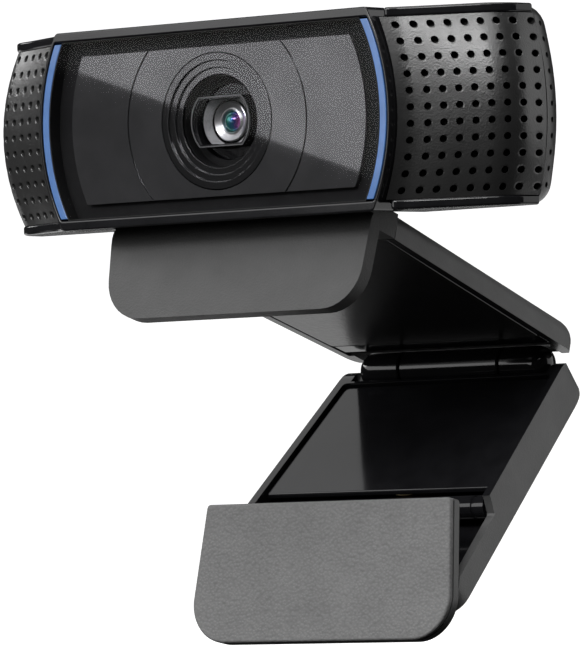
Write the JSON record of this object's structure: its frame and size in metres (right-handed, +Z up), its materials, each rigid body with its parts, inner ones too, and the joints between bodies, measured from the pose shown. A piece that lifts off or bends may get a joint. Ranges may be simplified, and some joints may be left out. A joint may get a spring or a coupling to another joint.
{
  "type": "clip-on webcam",
  "caption": "Wide webcam head with a lens window and perforated wings, tilting on a folding clip with a front lip, a hinged rear leg and a rocking foot.",
  "frame": {"origin": "on the underside of the clip's arm, 10 mm behind the lip, where it rests on a screen's top edge", "axes": "+X to the viewer's right along the wide head, the lens looks along -Y, +Z up"},
  "size_m": [0.094, 0.0626, 0.0905],
  "materials": {
    "gloss_black": "polished black plastic",
    "window_glass": "clear cover with a faint grey tint",
    "lens_glass": "coated lens glass, blue green",
    "inlay": "fine satin grey behind the window",
    "light_guide": "milky blue light guide",
    "head_shell": "satin dark grey",
    "clip_shell": "satin mid grey",
    "grip_pad": "fine pebbled rubber",
    "brass": "turned brass",
    "board": "green circuit board",
    "component": "black moulded component",
    "rubber": "soft black rubber",
    "steel": "plated steel"
  },
  "bodies": {
    "head": {"window_bezel": "gloss_black", "front_window": "window_glass", "inlay_panel": "inlay", "window_mask": "gloss_black", "lens_bezel": "gloss_black", "lens_shroud": "gloss_black", "focus_actuator": "component", "infrared_filter": "lens_glass", "image_sensor": "component", "main_board": "board", "image_processor": "component", "shield_can": "steel", "left_light_guide": "light_guide", "right_light_guide": "light_guide", "left_led": "steel", "right_led": "steel", "left_microphone": "steel", "right_microphone": "steel", "left_mic_gasket": "rubber", "right_mic_gasket": "rubber", "board_screw_left": "steel", "board_screw_right": "steel", "left_grille": "head_shell", "right_grille": "head_shell", "top_trim": "gloss_black", "left_bottom_trim": "gloss_black", "right_bottom_trim": "gloss_black", "saddle_plate": "gloss_black", "rear_shell": "head_shell", "cable_gland": "rubber", "tilt_yoke": "steel"},
    "lens_carriage": {"lens_barrel": "component", "front_lens": "lens_glass", "lens_retainer": "steel", "rear_lens": "lens_glass"},
    "clip_base": {"lip_bracket": "grip_pad", "arm_shell": "clip_shell", "arm_panel": "gloss_black", "neck": "gloss_black", "tilt_pin": "steel", "left_tilt_washer": "steel", "right_tilt_washer": "steel", "left_arm_knuckle": "gloss_black", "right_arm_knuckle": "gloss_black", "hinge_pin": "steel", "arm_screw_left": "steel", "arm_screw_right": "steel"},
    "leg": {"leg_shell": "clip_shell", "leg_panel": "gloss_black", "leg_knuckle": "gloss_black", "leg_bar": "gloss_black", "tripod_insert": "brass", "foot_pin": "steel", "leg_screw_left": "steel", "leg_screw_right": "steel"},
    "foot": {"foot_plate": "clip_shell", "foot_pad": "grip_pad"}
  },
  "joints": [
    {"name": "head_tilt", "type": "hinge", "parent": "clip_base", "child": "head", "pos_m": [0, -0.00498, 0.01069], "axis": [1, 0, 0], "range_deg": [-25, 7]},
    {"name": "focus_slide", "type": "slide", "parent": "head", "child": "lens_carriage", "axis": [0, -1, 0], "range_m": [0, 0.0003], "stiffness_N_per_m": 50},
    {"name": "leg_fold", "type": "hinge", "parent": "clip_base", "child": "leg", "pos_m": [0, 0.04195, -0.01612], "axis": [1, 0, 0], "range_deg": [-49, 60]},
    {"name": "foot_tilt", "type": "hinge", "parent": "leg", "child": "foot", "pos_m": [0, 0.00909, -0.04745], "axis": [1, 0, 0], "range_deg": [-39.5, 0]}
  ]
}
